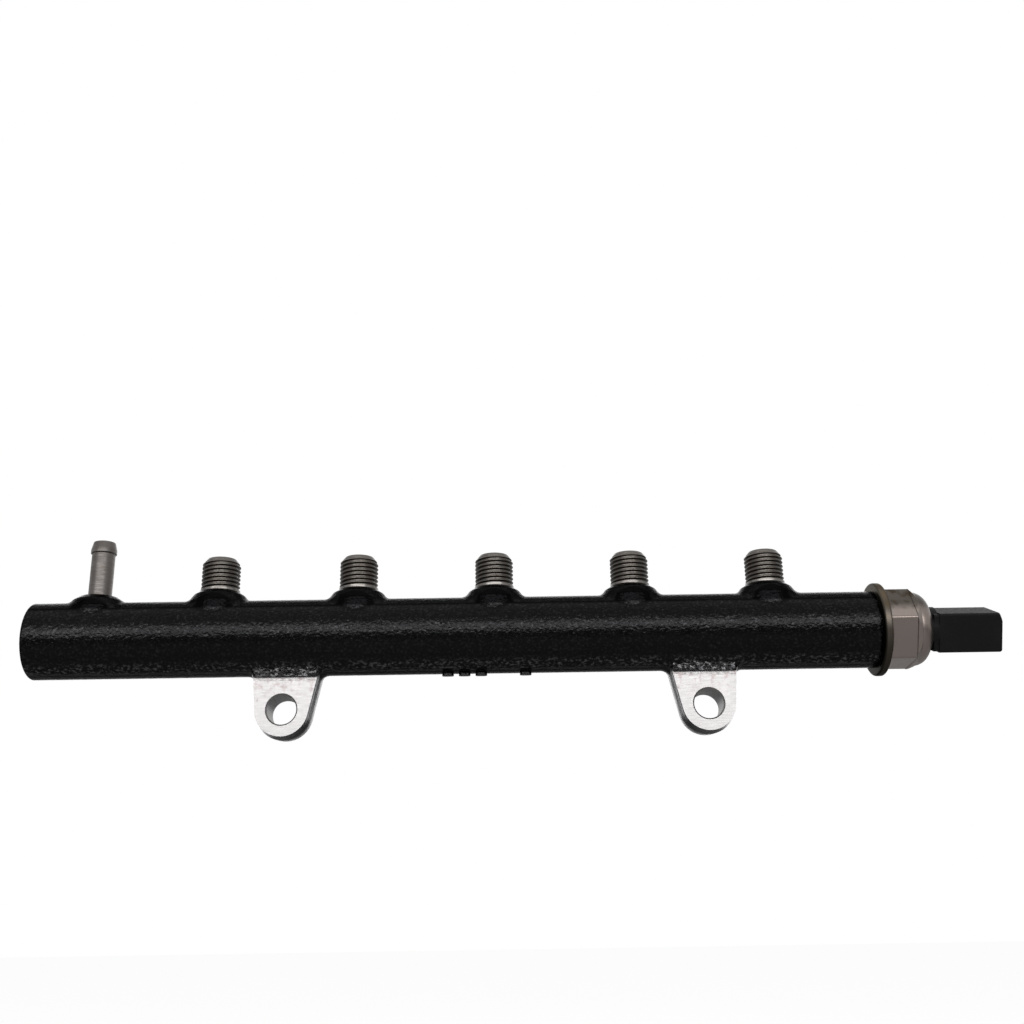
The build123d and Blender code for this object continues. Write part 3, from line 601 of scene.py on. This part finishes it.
def milled_steel(finishes):
    """Bright milled ear faces, with faint blotches, specks and a broken line of painted shade under the
    ledge.
    """
    material, tree, shader = new_finish("milled_steel", 1.0, 0.4)
    plain = place_on_piece(tree)
    _, _, z = axes_of_piece(tree)
    blotches = use_group(tree, "patches", Vector=plain, Scale=420.0, Threshold=0.50, Softness=0.14)
    near_ledge = between(tree, z, 1.0 * MM, LEDGE_Z)
    blotch = calculate(tree, "MULTIPLY", blotches["Mask"], near_ledge)
    stained = blend_colours(tree, blotch, finishes.milled, finishes.milled_stain)
    # Painted shade: a broken darker line on the milled face just under the ledge
    ledge_shade_band = calculate(
        tree, "MULTIPLY",
        between(tree, z, LEDGE_Z - 1.7 * MM, LEDGE_Z - 1.2 * MM),
        between(tree, z, LEDGE_Z - 0.3 * MM, LEDGE_Z - 0.7 * MM),
    )
    half_along = place_on_piece(tree, (0.5, 1, 1))
    ledge_shade_breaks = use_group(
        tree, "patches", Vector=half_along, Scale=1500.0, Threshold=0.42, Softness=0.2,
    )
    painted_light = calculate(tree, "MULTIPLY", ledge_shade_band, ledge_shade_breaks["Mask"])
    lined = blend_colours(tree, painted_light, stained, finishes.milled_painted_shade)
    specks = use_group(tree, "patches", Vector=plain, Scale=420.0, Threshold=0.675, Softness=0.02)
    specked = blend_colours(tree, specks["Mask"], lined, finishes.milled_speck)
    tree.links.new(specked, shader.inputs["Base Color"])
    lines = use_group(tree, "tool_marks", Vector=place_on_piece(tree, (0.06, 1, 1)), Scale=3200.0)
    roughness = between(tree, lines["Lines"], 0.2, 0.8, 0.34, 0.5)
    tree.links.new(roughness, shader.inputs["Roughness"])
    raise_surface(tree, shader, lines["Lines"], 0.012 * MM)
    return material


def drilled_steel():
    """Dull steel inside drilled holes."""
    material, tree, shader = new_finish("drilled_steel", 0.9, 0.5)
    around = place_on_piece(tree, (1, 0.05, 1))
    marks = use_group(tree, "tool_marks", Vector=around, Scale=1500.0)
    colour = blend_colours(tree, marks["Lines"], (0.10, 0.098, 0.096), (0.24, 0.235, 0.23))
    tree.links.new(colour, shader.inputs["Base Color"])
    raise_surface(tree, shader, marks["Lines"], 0.03 * MM)
    return material


def turned_steel(name, colour, patch_colour, roughness, patch_scale, marks_run, mark_depth):
    """Steel with cutter marks and patches of another tone."""
    material, tree, shader = new_finish(name, 1.0, roughness)
    patch = use_group(
        tree, "patches", Vector=place_on_piece(tree), Scale=patch_scale, Threshold=0.5, Softness=0.25,
    )
    toned = blend_colours(tree, patch["Mask"], colour, patch_colour)
    marks = use_group(tree, "tool_marks", Vector=place_on_piece(tree, marks_run), Scale=2600.0)
    in_marks = between(tree, marks["Lines"], 0.25, 0.75, 0.0, 0.3)
    lined = blend_colours(tree, in_marks, toned, (0.03, 0.028, 0.026))
    tree.links.new(lined, shader.inputs["Base Color"])
    spread = between(tree, marks["Lines"], 0.2, 0.8, roughness - 0.06, roughness + 0.1)
    tree.links.new(spread, shader.inputs["Roughness"])
    raise_surface(tree, shader, marks["Lines"], mark_depth)
    return material


def shell_steel(finishes):
    """Satin plated steel of the shell, with painted shade on its upper side and brown stains of heat and
    oil there.
    """
    material, tree, shader = new_finish("shell_steel", 1.0, 0.32)
    _, _, z = axes_of_piece(tree)
    # Painted shade: the upper side of the shell is darkened; the brown stains there are real
    upper = between(tree, z, RAIL_AXIS_Z + 3.5 * MM, RAIL_AXIS_Z + 7.5 * MM, 0.0, 0.95)
    with_painted_shade = blend_colours(tree, upper, finishes.shell, finishes.shell_painted_shade)
    stain = use_group(
        tree, "patches", Vector=place_on_piece(tree), Scale=190.0, Threshold=0.50, Softness=0.12,
    )
    stained = calculate(tree, "MULTIPLY", stain["Mask"], upper)
    browned = blend_colours(tree, stained, with_painted_shade, finishes.shell_stain)
    tree.links.new(browned, shader.inputs["Base Color"])
    marks = use_group(
        tree, "tool_marks", Vector=place_on_piece(tree, (1, 0.12, 0.12)), Scale=1800.0,
    )
    roughness = between(tree, marks["Lines"], 0.2, 0.8, 0.28, 0.38)
    tree.links.new(roughness, shader.inputs["Roughness"])
    raise_surface(tree, shader, marks["Lines"], 0.004 * MM)
    return material


def flange_steel(finishes):
    """The shell's flange, olive and golden with heat, with painted shade below and on its face towards the
    rail.
    """
    material, tree, shader = new_finish("flange_steel", 1.0, 0.36, Specular_Tint=HALF_TINT)
    x, _, z = axes_of_piece(tree)
    gold = use_group(
        tree, "patches", Vector=place_on_piece(tree), Scale=150.0, Threshold=0.44, Softness=0.2,
    )
    tinted = blend_colours(tree, gold["Mask"], finishes.flange, finishes.shell_tint)
    # Painted shade: the flange darkens towards its bottom
    height = between(tree, z, RAIL_AXIS_Z - 15 * MM, RAIL_AXIS_Z + 2 * MM)
    shaded = blend_colours(tree, height, finishes.flange_painted_shade, tinted)
    upper = between(tree, z, RAIL_AXIS_Z - 2 * MM, RAIL_AXIS_Z + 12 * MM)
    # Painted shade on the face towards the rail, darkest at the bottom
    back_face_painted_shade = blend_colours(tree, upper, (0.012, 0.011, 0.009), (0.060, 0.053, 0.042))
    behind = between(tree, x, SHELL_LOW.x + 0.9 * MM, SHELL_LOW.x + 0.3 * MM)
    colour = blend_colours(tree, behind, shaded, back_face_painted_shade)
    tree.links.new(colour, shader.inputs["Base Color"])
    return material


def moulded_plastic(name, colour, roughness):
    """Moulded plastic or rubber with a fine spark-eroded grain."""
    material, tree, shader = new_finish(name, 0.0, roughness, Specular_IOR_Level=0.1)
    plain = place_on_piece(tree)
    dust = use_group(tree, "patches", Vector=plain, Scale=90.0, Threshold=0.5, Softness=0.3)
    dusty = tuple(min(1.0, channel * 1.8) for channel in colour)
    toned = blend_colours(tree, dust["Mask"], colour, dusty)
    tree.links.new(toned, shader.inputs["Base Color"])
    grain = use_group(tree, "surface_grain", Vector=plain, Scale=2600.0, Coarse=0.3)
    spread = between(tree, grain["Coarse height"], 0.3, 0.7, roughness - 0.05, roughness + 0.07)
    tree.links.new(spread, shader.inputs["Roughness"])
    raise_surface(tree, shader, grain["Height"], 0.02 * MM)
    return material


def steels(finishes):
    """Turned and drawn metals: name, colour, patches, roughness, patch scale, run and depth of marks."""
    return {
        "thread": (
            "thread_steel", finishes.thread, (0.085, 0.07, 0.06), 0.36, 260.0, UP_A_STUB, 0.012 * MM,
        ),
        "land": (
            "turned_steel", (0.17, 0.16, 0.15), (0.10, 0.09, 0.085), 0.3, 300.0, ROUND_A_STUB, 0.01 * MM,
        ),
        "nipple": (
            "nipple_steel", finishes.nipple, (0.09, 0.075, 0.065), 0.4, 220.0, ROUND_A_STUB, 0.01 * MM,
        ),
        "plug": (
            "plug_steel", (0.24, 0.23, 0.22), (0.15, 0.14, 0.13), 0.4, 200.0, ROUND_THE_RAIL, 0.01 * MM,
        ),
        "valve": (
            "valve_steel", (0.45, 0.45, 0.46), (0.35, 0.35, 0.36), 0.22, 200.0, ROUND_THE_RAIL, 0.004 * MM,
        ),
        "spring": (
            "spring_steel", (0.2, 0.2, 0.21), (0.12, 0.12, 0.13), 0.35, 300.0, EVERY_WAY, 0.006 * MM,
        ),
        "sensor": (
            "sensor_steel", (0.4, 0.38, 0.36), (0.3, 0.28, 0.26), 0.3, 200.0, ROUND_THE_RAIL, 0.006 * MM,
        ),
        "copper": (
            "seal_copper", (0.62, 0.32, 0.2), (0.4, 0.2, 0.13), 0.35, 300.0, ROUND_THE_RAIL, 0.006 * MM,
        ),
        "brass": (
            "contact_brass", (0.6, 0.5, 0.3), (0.5, 0.38, 0.2), 0.28, 500.0, ALONG_THE_RAIL, 0.004 * MM,
        ),
    }


def make_finishes():
    """The shared groups and every finish, by name."""
    finishes = bpy.context.scene.rail_finishes
    grain_group()
    patches_group()
    tool_marks_group()
    made = {
        "paint": forging_paint(finishes),
        "milled": milled_steel(finishes),
        "drilled": drilled_steel(),
        "shell": shell_steel(finishes),
        "flange": flange_steel(finishes),
        "socket": moulded_plastic("socket_plastic", finishes.socket, 0.55),
        "carrier": moulded_plastic("carrier_plastic", (0.05, 0.05, 0.05), 0.5),
        "board": moulded_plastic("board_laminate", (0.02, 0.12, 0.05), 0.4),
        "rubber": moulded_plastic("seal_rubber", (0.012, 0.012, 0.012), 0.6),
    }
    for key, values in steels(finishes).items():
        made[key] = turned_steel(*values)
    return made


# Pieces


def from_stub_axis(point, stub):
    """Distance of a point from a stub's axis."""
    x, y, _ = stub["pos_m"]
    return math.hypot(point.x - x, point.y - y)


def from_ear_bolt(point):
    """Distance of a point from the nearer bolt axis."""
    return min(math.hypot(point.x - side * EAR_X, point.z) for side in (-1, 1))


def from_rail_axis(point):
    """Distance of a point from the rail's axis."""
    return math.hypot(point.y - RAIL_AXIS_Y, point.z - RAIL_AXIS_Z)


def stub_root(stub):
    """Height at which the thread of a stub starts."""
    return stub["pos_m"][2] - stub["dims"]["length_mm"] * MM / 2


def cut_stubs_off(forging):
    """Removes the plain stubs above their lands, where the threaded ones will stand."""
    for stub in STUBS:
        x, y, _ = stub["pos_m"]
        root = stub_root(stub)
        height = BODY_HIGH.z - root + CLEARANCE
        clear_selection()
        bpy.ops.mesh.primitive_cylinder_add(
            vertices=48, radius=stub["dims"]["r_mm"] * MM + CLEARANCE, depth=height,
            location=(x, y, root + height / 2),
        )
        settle(bpy.context.object)
        cut_with(forging, bpy.context.object)


def on_ear_face(middle, normal):
    """The milled faces at the front of the ears."""
    return normal.y < -0.99 and abs(middle.y) < EDGE_GAP and middle.z < LEDGE_Z


def on_spot_face(middle, normal):
    """The turned faces for the bolt heads."""
    level = normal.y > 0.99 and abs(middle.y - SPOT_FACE_Y) < EDGE_GAP
    return level and from_ear_bolt(middle) < SPOT_FACE_RADIUS


def in_ear_hole(middle, normal):
    """The walls and chamfers of the bolt holes."""
    return from_ear_bolt(middle) < EAR_HOLE_RADIUS + EAR_HOLE_CHAMFER and abs(normal.y) < 0.9


def in_main_bore(middle, normal):
    """Walls and shoulders of the bores along the rail."""
    outwards = Vector((0, middle.y - RAIL_AXIS_Y, middle.z - RAIL_AXIS_Z))
    faces_bore = abs(normal.x) > 0.99 or normal.dot(outwards) < 0
    return from_rail_axis(middle) < BORE_REACH and faces_bore


def on_stub_land(middle, normal):
    """The turned lands under the threads."""
    return any(
        from_stub_axis(middle, stub) < LAND_RADIUS and middle.z > stub_root(stub) - LAND_HEIGHT
        for stub in STUBS
    )


def on_plug_end(middle, normal):
    """The turned end face round the plug."""
    return normal.x < -0.99 and abs(middle.x - BODY_LOW.x) < EDGE_GAP


def dress_forging(coats):
    """The forging without its threads: painted skin, milled and turned faces, drilled holes."""
    forging = copy_of("rail_body", "rail_forging")
    cut_stubs_off(forging)
    coat(forging, coats["paint"])
    for finish, test in (
        ("milled", on_ear_face), ("milled", on_spot_face), ("drilled", in_ear_hole),
        ("drilled", in_main_bore), ("land", on_stub_land), ("land", on_plug_end),
    ):
        coat(forging, coats[finish], test)
    smooth(forging)
    rests_on_rail(forging, "body_paint", "rail_body")


def stub_outline(sizes, radius, shoulder, tip):
    """Half section of a stub before its thread is cut: chamfered tip, cone seat and drilling."""
    seat_depth = (sizes.seat_mouth - sizes.bore_radius) / math.tan(math.radians(30))
    return [
        (sizes.bore_radius, 0), (radius, 0), (radius, shoulder), (sizes.tip_radius, tip),
        (sizes.seat_mouth, tip), (sizes.bore_radius, tip - seat_depth),
    ]


def groove_outline(sizes, radius):
    """Section of the groove between two turns, opened a little past the stub's surface."""
    reach = 0.1 * MM
    half_root = sizes.root_flat / 2
    half_mouth = (sizes.pitch - sizes.crest_flat) / 2
    half_outer = half_mouth + reach * (half_mouth - half_root) / sizes.depth
    return [
        (radius - sizes.depth, -half_root), (radius - sizes.depth, half_root),
        (radius + reach, half_outer), (radius + reach, -half_outer),
    ]


def groove_cutter(sizes, radius, tip, place):
    """A helical bar, closed at both ends, that cuts the thread from the land to past the tip."""
    cutter = section("thread_cutter", groove_outline(sizes, radius), place)
    cutter.location.z -= sizes.pitch * sizes.lead_in
    finish_modifier(
        cutter, "SCREW", axis="Z", angle=math.tau, screw_offset=sizes.pitch,
        iterations=math.ceil(tip / sizes.pitch) + 1, steps=sizes.steps, render_steps=sizes.steps,
        use_merge_vertices=True, merge_threshold=MERGE_GAP,
    )
    pick(cutter)
    bpy.ops.object.mode_set(mode="EDIT")
    bpy.ops.mesh.select_all(action="DESELECT")
    bpy.ops.mesh.select_non_manifold()
    bpy.ops.mesh.fill_holes(sides=4)
    bpy.ops.object.mode_set(mode="OBJECT")
    face_outwards(cutter)
    return cutter


def thread_stubs(coats):
    """The threaded part of each line stub, cut once and copied to the other stubs."""
    sizes = bpy.context.scene.rail_thread
    first = STUBS[0]
    radius = first["dims"]["r_mm"] * MM
    shoulder = first["dims"]["length_mm"] * MM
    root = stub_root(first)
    tip = BODY_HIGH.z - root
    place = (first["pos_m"][0], first["pos_m"][1], root)
    stub = turned("stub_thread", stub_outline(sizes, radius, shoulder, tip), place, sizes.steps)
    cut_with(stub, groove_cutter(sizes, radius, tip, place))
    coat(stub, coats["thread"])
    settle(stub)
    smooth(stub, math.radians(25))
    threaded = [stub]
    for other in STUBS[1:]:
        piece = stub.copy()
        piece.data = stub.data.copy()
        bpy.context.scene.collection.objects.link(piece)
        piece.location = Vector(other["pos_m"]) - Vector(first["pos_m"])
        settle(piece)
        threaded.append(piece)
    for piece, mount in zip(threaded, STUBS):
        piece.name = mount["name"] + "_thread"
        rests_on_rail(piece, "body_paint")


def dress_nipple(coats):
    """The pressed-in return nipple."""
    nipple = copy_of("return_nipple")
    coat(nipple, coats["nipple"])
    smooth(nipple)
    rests_on_rail(nipple, "nipple_steel", "return_nipple")


def arc(centre, size, start, end, steps=6):
    """Points along an arc of an outline; angles are in degrees from the axis."""
    radius, height = centre
    turns = [math.radians(start + (end - start) * step / steps) for step in range(steps + 1)]
    return [(radius + size * math.sin(turn), height + size * math.cos(turn)) for turn in turns]


def shell_form(name, outline):
    """A turned piece of the shell, upright, from an outline in millimetres."""
    points = [(radius * MM, height * MM) for radius, height in outline]
    return turned(name, points, (0, 0, 0), SHELL_STEPS)


def shell_prism(across_flats, low, high):
    """A hexagonal bar with rounded long edges, a flat turned to the sensor's clock angle."""
    clear_selection()
    bpy.ops.mesh.primitive_cylinder_add(
        vertices=6, radius=across_flats / math.sqrt(3), depth=high - low,
        location=(0, 0, (low + high) / 2), rotation=(0, 0, SENSOR_CLOCK - math.radians(30)),
    )
    prism = bpy.context.object
    settle(prism)
    finish_modifier(
        prism, "BEVEL", width=HEX_CORNER_ROUND * math.tan(math.radians(30)), segments=5,
        limit_method="ANGLE", angle_limit=math.radians(50),
    )
    return prism


def laid_along_rail(piece):
    """Lays a piece made upright along the rail's axis, from the sensor's flange outwards."""
    piece.rotation_euler = (0, math.pi / 2, 0)
    piece.location = (SHELL_LOW.x, RAIL_AXIS_Y, RAIL_AXIS_Z)
    settle(piece)


def dress_sensor(coats):
    """The sensor's drawn steel shell: flange, hexagon, shoulder, round cap and dome."""
    front, back = FLANGE_ROUND_CENTRES
    flange = ((0, 0), *arc(front, FLANGE_ROUND, 180, 90), *arc(back, FLANGE_ROUND, 90, 0), *FLANGE_ROOT)
    cap = (*CAP_FOOT, *arc(CAP_ROUND_CENTRE, CAP_ROUND, 90, 8.7, 12), (0, DOME_TOP))
    shell = shell_prism(HEX_ACROSS, HEX_START, HEX_END)
    shoulder = shell_prism(HEX_ACROSS + 2 * SHOULDER_STEP, SHOULDER_START, SHOULDER_END)
    cut_with(shell, shoulder, "UNION")
    cut_with(shell, shell_form("shell_envelope", CORNER_ENVELOPE), "INTERSECT")
    cut_with(shell, shell_form("shell_cap", cap), "UNION")
    cut_with(shell, shell_form("shell_flange", flange), "UNION")
    cut_with(shell, shell_form("shell_cavity", CAVITY))
    shell.name = "sensor_shell_dressed"
    laid_along_rail(shell)
    shell.data.materials.clear()
    coat(shell, coats["shell"])
    coat(shell, coats["flange"], lambda middle, _: middle.x < SHELL_LOW.x + FLANGE_END)
    smooth(shell, math.radians(28))
    rests_on_rail(shell, "shell_steel", "sensor_shell")


def dress_connector(coats):
    """The sensor's moulded socket and its pins."""
    socket = copy_of("sensor_connector")
    coat(socket, coats["socket"])
    smooth(socket, math.radians(30))
    rests_on_rail(socket, "socket_plastic", "sensor_connector")
    for index in (1, 2, 3):
        recoat(f"terminal_{index}", coats["brass"])


def dress_inner_parts(coats):
    """The plug, the limiting valve and what the sensor holds."""
    for node, finish in (
        ("end_plug", "plug"), ("plug_seal", "copper"), ("limiter_shim", "valve"), ("limiter_seat", "valve"),
        ("limiter_ball", "valve"), ("limiter_plunger", "valve"), ("limiter_spring", "spring"),
        ("sensor_gasket", "sensor"), ("sensor_port", "sensor"), ("pressure_cell", "sensor"),
        ("board_carrier", "carrier"), ("sensor_board", "board"), ("contact_springs", "brass"),
        ("connector_seal", "rubber"),
    ):
        recoat(node, coats[finish])


# Stage


def aim(thing, target):
    """Turns a lamp so that it shines at a point."""
    thing.rotation_mode = "QUATERNION"
    thing.rotation_quaternion = (Vector(target) - thing.location).to_track_quat("-Z", "Y")


def lamp(name, place, target, width, height, watts):
    """A soft rectangular lamp that shines from a place at a target."""
    clear_selection()
    bpy.ops.object.light_add(type="AREA", location=place)
    light = bpy.context.object
    light.name = name
    light.data.shape = "RECTANGLE"
    light.data.size = width
    light.data.size_y = height
    light.data.energy = watts
    aim(light, target)


def set_sky(strength):
    """A soft sky that shows white to the eye and in reflections."""
    world = bpy.data.worlds.new("studio_sky")
    world.use_nodes = True
    tree = world.node_tree
    path = tree.nodes.new("ShaderNodeLightPath")
    seen = calculate(tree, "MAXIMUM", path.outputs["Is Camera Ray"], path.outputs["Is Transmission Ray"])
    seen = calculate(tree, "MAXIMUM", seen, path.outputs["Is Glossy Ray"])
    sky = tree.nodes["Background"]
    sky.inputs["Color"].default_value = (1, 1, 1, 1)
    node = tree.nodes.new("ShaderNodeMapRange")
    tree.links.new(seen, node.inputs["Value"])
    node.inputs["To Min"].default_value = strength
    node.inputs["To Max"].default_value = 1.0
    tree.links.new(node.outputs["Result"], sky.inputs["Strength"])
    bpy.context.scene.world = world


def lay_floor(settings):
    """A pale floor, white to the eye where no shadow falls."""
    clear_selection()
    bpy.ops.mesh.primitive_plane_add(size=40, location=(0, 0, settings.floor_drop))
    floor = bpy.context.object
    floor.name = "floor"
    settle(floor)
    material, tree, shader = new_finish("pale_floor", 0.0, 0.9, Specular_IOR_Level=0.0)
    shader.inputs["Base Color"].default_value = (*settings.floor_colour, 1)
    path = tree.nodes.new("ShaderNodeLightPath")
    lift = calculate(tree, "MULTIPLY", path.outputs["Is Camera Ray"], settings.floor_lift)
    shader.inputs["Emission Color"].default_value = (1, 1, 1, 1)
    tree.links.new(lift, shader.inputs["Emission Strength"])
    floor.data.materials.append(material)


def set_camera(settings):
    """The camera, below the rail and looking up at it."""
    clear_selection()
    bpy.ops.object.camera_add()
    camera = bpy.context.object
    camera.name = "view_camera"
    camera.data.sensor_width = 36
    camera.data.lens = settings.lens
    pitch, yaw, roll = settings.camera_pitch, settings.camera_yaw, settings.camera_roll
    forward = Vector((math.sin(yaw) * math.cos(pitch), math.cos(yaw) * math.cos(pitch), math.sin(pitch)))
    level = Vector((math.cos(yaw), -math.sin(yaw), 0))
    right = level * math.cos(roll) + level.cross(forward) * math.sin(roll)
    up = right.cross(forward)
    turn = Matrix((right, up, -forward)).transposed().to_4x4()
    camera.matrix_world = Matrix.Translation(Vector(settings.camera_place)) @ turn
    bpy.context.scene.camera = camera


def set_studio():
    """Floor, sky, lamps and camera."""
    settings = bpy.context.scene.rail_studio
    bpy.context.scene.view_settings.view_transform = "Standard"
    lay_floor(settings)
    set_sky(settings.sky)
    over_rail = (0.0, 0.0, 0.43)
    rail_middle = (0.0, 0.0, 0.02)
    lamp("key_lamp", (0.0, -1.3, 0.43), over_rail, width=2.4, height=0.46, watts=settings.key)
    lamp("top_lamp", (0.0, -0.1, 1.2), rail_middle, width=1.6, height=0.8, watts=settings.top)
    lamp("back_lamp", (0.0, 1.3, 0.5), rail_middle, width=2.0, height=0.9, watts=settings.back)
    set_camera(settings)


# Operators and panel


class RAIL_OT_finishes(bpy.types.Operator):
    """Make the shared node groups and the rail's finishes"""

    bl_idname = "rail.finishes"
    bl_label = "Make finishes"

    def execute(self, context):
        COATS.update(make_finishes())
        return {"FINISHED"}


class RAIL_OT_forging(bpy.types.Operator):
    """Dress the forged body: paint, milled faces, turned lands and drilled holes"""

    bl_idname = "rail.forging"
    bl_label = "Dress forging"

    def execute(self, context):
        dress_forging(COATS)
        return {"FINISHED"}


class RAIL_OT_threads(bpy.types.Operator):
    """Cut the threads of the line stubs"""

    bl_idname = "rail.threads"
    bl_label = "Cut stub threads"

    def execute(self, context):
        thread_stubs(COATS)
        return {"FINISHED"}


class RAIL_OT_nipple(bpy.types.Operator):
    """Dress the return nipple"""

    bl_idname = "rail.nipple"
    bl_label = "Dress return nipple"

    def execute(self, context):
        dress_nipple(COATS)
        return {"FINISHED"}


class RAIL_OT_sensor(bpy.types.Operator):
    """Dress the pressure sensor's shell"""

    bl_idname = "rail.sensor"
    bl_label = "Dress sensor shell"

    def execute(self, context):
        dress_sensor(COATS)
        return {"FINISHED"}


class RAIL_OT_connector(bpy.types.Operator):
    """Dress the sensor's socket and pins"""

    bl_idname = "rail.connector"
    bl_label = "Dress socket"

    def execute(self, context):
        dress_connector(COATS)
        return {"FINISHED"}


class RAIL_OT_inner_parts(bpy.types.Operator):
    """Give finishes to the plug, the limiting valve and the sensor's inside"""

    bl_idname = "rail.inner_parts"
    bl_label = "Dress inner parts"

    def execute(self, context):
        dress_inner_parts(COATS)
        return {"FINISHED"}


class RAIL_OT_studio(bpy.types.Operator):
    """Set up the floor, sky, lamps and camera"""

    bl_idname = "rail.studio"
    bl_label = "Set up studio"

    def execute(self, context):
        set_studio()
        return {"FINISHED"}


class RAIL_PT_panel(bpy.types.Panel):
    """Sizes, finishes and steps of the fuel rail"""

    bl_label = "Fuel Rail"
    bl_idname = "RAIL_PT_panel"
    bl_space_type = "VIEW_3D"
    bl_region_type = "UI"
    bl_category = "Fuel Rail"

    def draw(self, context):
        scene = context.scene
        for settings in (scene.rail_thread, scene.rail_finishes, scene.rail_studio):
            box = self.layout.box()
            for name in settings.__annotations__:
                box.prop(settings, name)
        for operator in STEPS:
            self.layout.operator(operator.bl_idname)


COATS = {}
STEPS = (
    RAIL_OT_finishes, RAIL_OT_forging, RAIL_OT_threads, RAIL_OT_nipple, RAIL_OT_sensor,
    RAIL_OT_connector, RAIL_OT_inner_parts, RAIL_OT_studio,
)
SETTINGS = {"rail_thread": ThreadSizes, "rail_finishes": RailFinishes, "rail_studio": StudioSettings}


def register():
    for kind in (*SETTINGS.values(), *STEPS, RAIL_PT_panel):
        bpy.utils.register_class(kind)
    for name, kind in SETTINGS.items():
        setattr(bpy.types.Scene, name, bpy.props.PointerProperty(type=kind))


def unregister():
    for name in SETTINGS:
        delattr(bpy.types.Scene, name)
    for kind in reversed((*SETTINGS.values(), *STEPS, RAIL_PT_panel)):
        bpy.utils.unregister_class(kind)


def main():
    """Builds the dressed rail and its studio."""
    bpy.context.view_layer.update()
    register()
    bpy.ops.rail.finishes()
    bpy.ops.rail.forging()
    bpy.ops.rail.threads()
    bpy.ops.rail.nipple()
    bpy.ops.rail.sensor()
    bpy.ops.rail.connector()
    bpy.ops.rail.inner_parts()
    bpy.ops.rail.studio()


if __name__ == "__main__":
    main()
